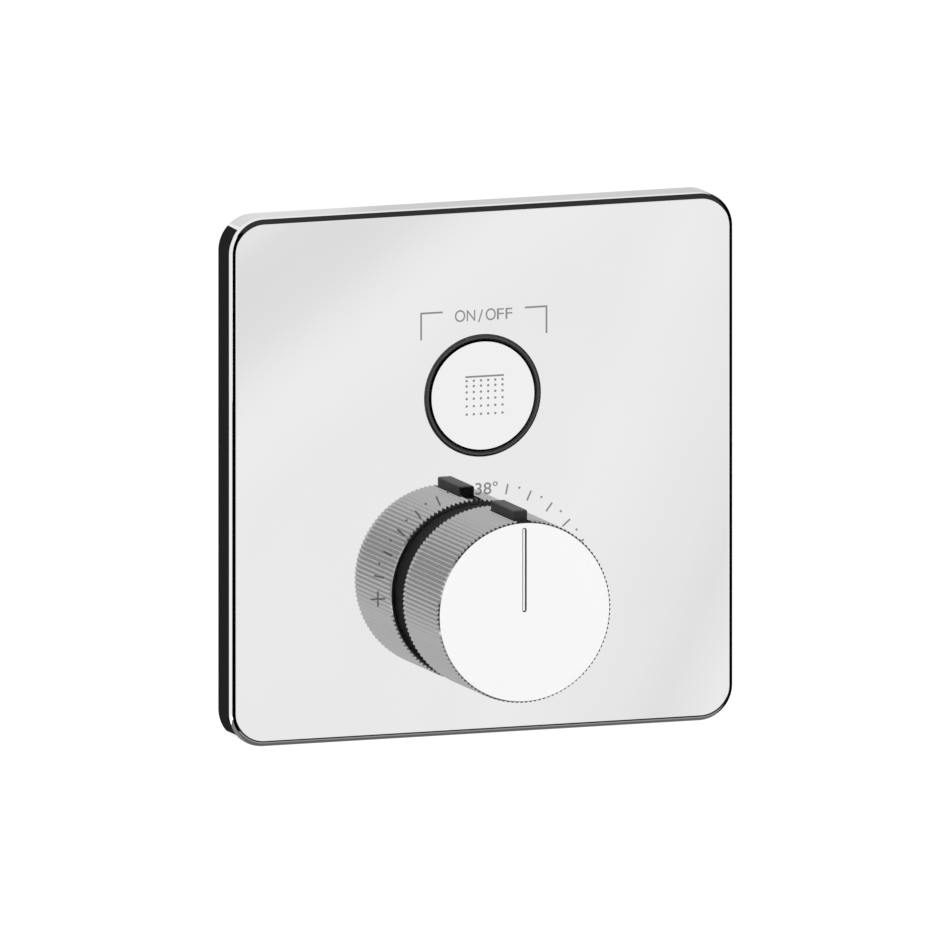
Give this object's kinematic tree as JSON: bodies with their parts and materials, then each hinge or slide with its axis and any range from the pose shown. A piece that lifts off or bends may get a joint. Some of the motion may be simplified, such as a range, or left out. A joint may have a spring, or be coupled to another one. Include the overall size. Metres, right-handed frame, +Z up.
{
  "type": "shower mixer",
  "caption": "Concealed shower mixer: square cover plate, push button for on and off, knurled temperature knob with a safety stop, and a brass valve body in the wall.",
  "frame": {"origin": "centre of the cover plate, on the plane of the finished wall", "axes": "+Z up, -Y out of the wall toward the user, +X to the user's right"},
  "size_m": [0.15, 0.1174, 0.15],
  "materials": {
    "chrome": "mirror polished",
    "black_plastic": "satin",
    "brass": "cast and turned",
    "copper": "drawn",
    "rubber": "matte",
    "steel": "drawn",
    "zinc_sheet": "galvanised",
    "white_plastic": "moulded"
  },
  "bodies": {
    "mixer_body": {"faceplate": "chrome", "button_bezel": "black_plastic", "base_collar": "black_plastic", "valve_body": "brass", "inlet_union_hot": "brass", "inlet_union_cold": "brass", "outlet_union": "brass", "thermo_housing": "brass", "stop_housing": "brass", "thermo_gland_nut": "brass", "stop_gland_nut": "brass", "wall_seal": "rubber", "plate_grommets": "rubber", "stop_seals": "rubber", "thermo_seals": "rubber", "button_spring": "steel", "thermo_spring": "steel", "check_spring_hot": "steel", "check_spring_cold": "steel", "carrier_screws": "steel", "bracket_screws": "steel", "inlet_strainers": "steel", "spring_seat": "steel", "carrier": "zinc_sheet", "wall_bracket": "zinc_sheet", "limit_ring": "white_plastic", "check_cage_hot": "white_plastic", "check_cage_cold": "white_plastic"},
    "knob": {"knob_shell": "chrome", "knob_hub": "black_plastic", "knob_grub_screw": "steel", "thermo_spindle": "brass", "stop_spring": "steel"},
    "stop_tab": {"stop_button": "black_plastic"},
    "on_off_button": {"button_cap": "chrome", "button_stem": "white_plastic", "stop_washer": "rubber"},
    "mixing_shuttle": {"shuttle_sleeve": "white_plastic", "drive_nut": "brass", "wax_element": "copper"},
    "hot_check": {"check_poppet_hot": "white_plastic"},
    "cold_check": {"check_poppet_cold": "white_plastic"}
  },
  "joints": [
    {"name": "knob_turn", "type": "hinge", "parent": "mixer_body", "child": "knob", "pos_m": [0, 0, -0.035], "axis": [0, -1, 0], "range_deg": [-90, 90]},
    {"name": "stop_press", "type": "slide", "parent": "knob", "child": "stop_tab", "axis": [0, 0, -1], "range_m": [0, 0.002], "stiffness_N_per_m": 1500, "springref_m": -0.001, "deforming": ["stop_spring"]},
    {"name": "button_press", "type": "slide", "parent": "mixer_body", "child": "on_off_button", "axis": [0, 1, 0], "range_m": [0, 0.003], "stiffness_N_per_m": 1200, "springref_m": -0.002, "deforming": ["button_spring"]},
    {"name": "shuttle_shift", "type": "slide", "parent": "mixer_body", "child": "mixing_shuttle", "axis": [0, -1, 0], "range_m": [-0.001, 0.001], "deforming": ["thermo_spring"]},
    {"name": "hot_check_open", "type": "slide", "parent": "mixer_body", "child": "hot_check", "axis": [1, 0, 0], "range_m": [0, 0.002], "stiffness_N_per_m": 150, "springref_m": -0.001, "deforming": ["check_spring_hot"]},
    {"name": "cold_check_open", "type": "slide", "parent": "mixer_body", "child": "cold_check", "axis": [-1, 0, 0], "range_m": [0, 0.002], "stiffness_N_per_m": 150, "springref_m": -0.001, "deforming": ["check_spring_cold"]}
  ],
  "couplings": [
    {"joint": "shuttle_shift", "follows": "knob_turn", "m_per_rad": 0.00063}
  ]
}
